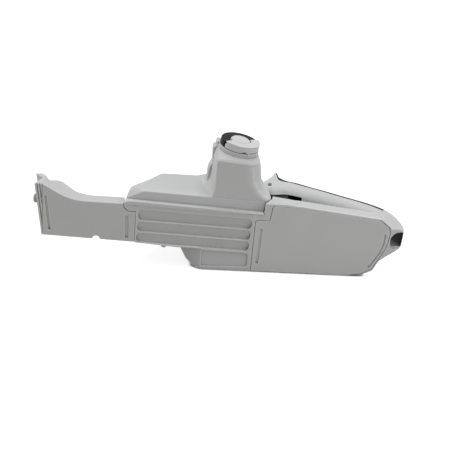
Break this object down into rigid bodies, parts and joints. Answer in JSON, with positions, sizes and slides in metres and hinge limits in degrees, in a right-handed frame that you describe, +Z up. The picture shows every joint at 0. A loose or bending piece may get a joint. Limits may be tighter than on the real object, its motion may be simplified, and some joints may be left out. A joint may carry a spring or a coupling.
{
  "type": "chainsaw rear handle",
  "caption": "Chainsaw fuel tank housing with rear handle, hand guard, mounting arm, filler neck with flip-wing cap, throttle trigger and interlock lever.",
  "frame": {"origin": "middle of the fuel tank's flat foot, on the surface that the part lies on", "axes": "+X towards the rear end of the handle, +Y away from the underside towards the saw's top, +Z up towards the filler cap (the saw's left side)"},
  "size_m": [0.4177, 0.1338, 0.1469],
  "materials": {
    "housing": "fine-textured moulded polyamide, light grey",
    "black_plastic": "matt black moulding",
    "cap_dark": "matt dark grey moulding",
    "cap_light": "matt light grey moulding",
    "steel": "bright turned steel",
    "spring_steel": "drawn spring wire",
    "rubber": "matt black rubber",
    "grey_rubber": "matt grey rubber"
  },
  "bodies": {
    "root": {"arm_channel": "housing", "arm_cover": "housing", "tank_pan": "housing", "tank_shell": "housing", "guard_tray": "housing", "guard_cover": "housing", "handle_grip": "housing", "handle_moulding": "black_plastic", "trigger_pin": "steel", "interlock_pin": "steel", "trigger_spring": "spring_steel", "interlock_spring": "spring_steel", "moulding_screws": "steel", "tail_plug": "rubber", "hose_grommet": "rubber", "hose_spigot": "black_plastic", "vent_body": "black_plastic", "vent_valve": "rubber", "arm_buffer": "grey_rubber"},
    "trigger": {"throttle_trigger": "black_plastic"},
    "interlock": {"interlock_lever": "black_plastic"},
    "cap": {"cap_body": "cap_dark", "cap_rotor": "cap_light", "cap_lever_pin": "steel", "cap_seal": "rubber"},
    "cap_wing": {"cap_lever": "cap_light"}
  },
  "joints": [
    {"name": "throttle_squeeze", "type": "hinge", "parent": "root", "child": "trigger", "pos_m": [0.0545, 0.047, 0.057], "axis": [0, 0, 1], "range_deg": [0, 14], "stiffness_Nm_per_rad": 0.12, "springref_deg": -8.59},
    {"name": "interlock_press", "type": "hinge", "parent": "root", "child": "interlock", "pos_m": [0.085, 0.0565, 0.057], "axis": [0, 0, -1], "range_deg": [0, 10], "stiffness_Nm_per_rad": 0.08, "springref_deg": -8.59},
    {"name": "cap_turn", "type": "hinge", "parent": "root", "child": "cap", "pos_m": [0.0082, -0.007, 0.1432], "axis": [0.1421, -0.1029, 0.9845], "range_deg": [-90, 0]},
    {"name": "cap_wing_fold", "type": "hinge", "parent": "cap", "child": "cap_wing", "pos_m": [0.00957, -0.00954, 0.14223], "axis": [-0.8664, -0.4938, 0.0735], "range_deg": [0, 90]}
  ]
}
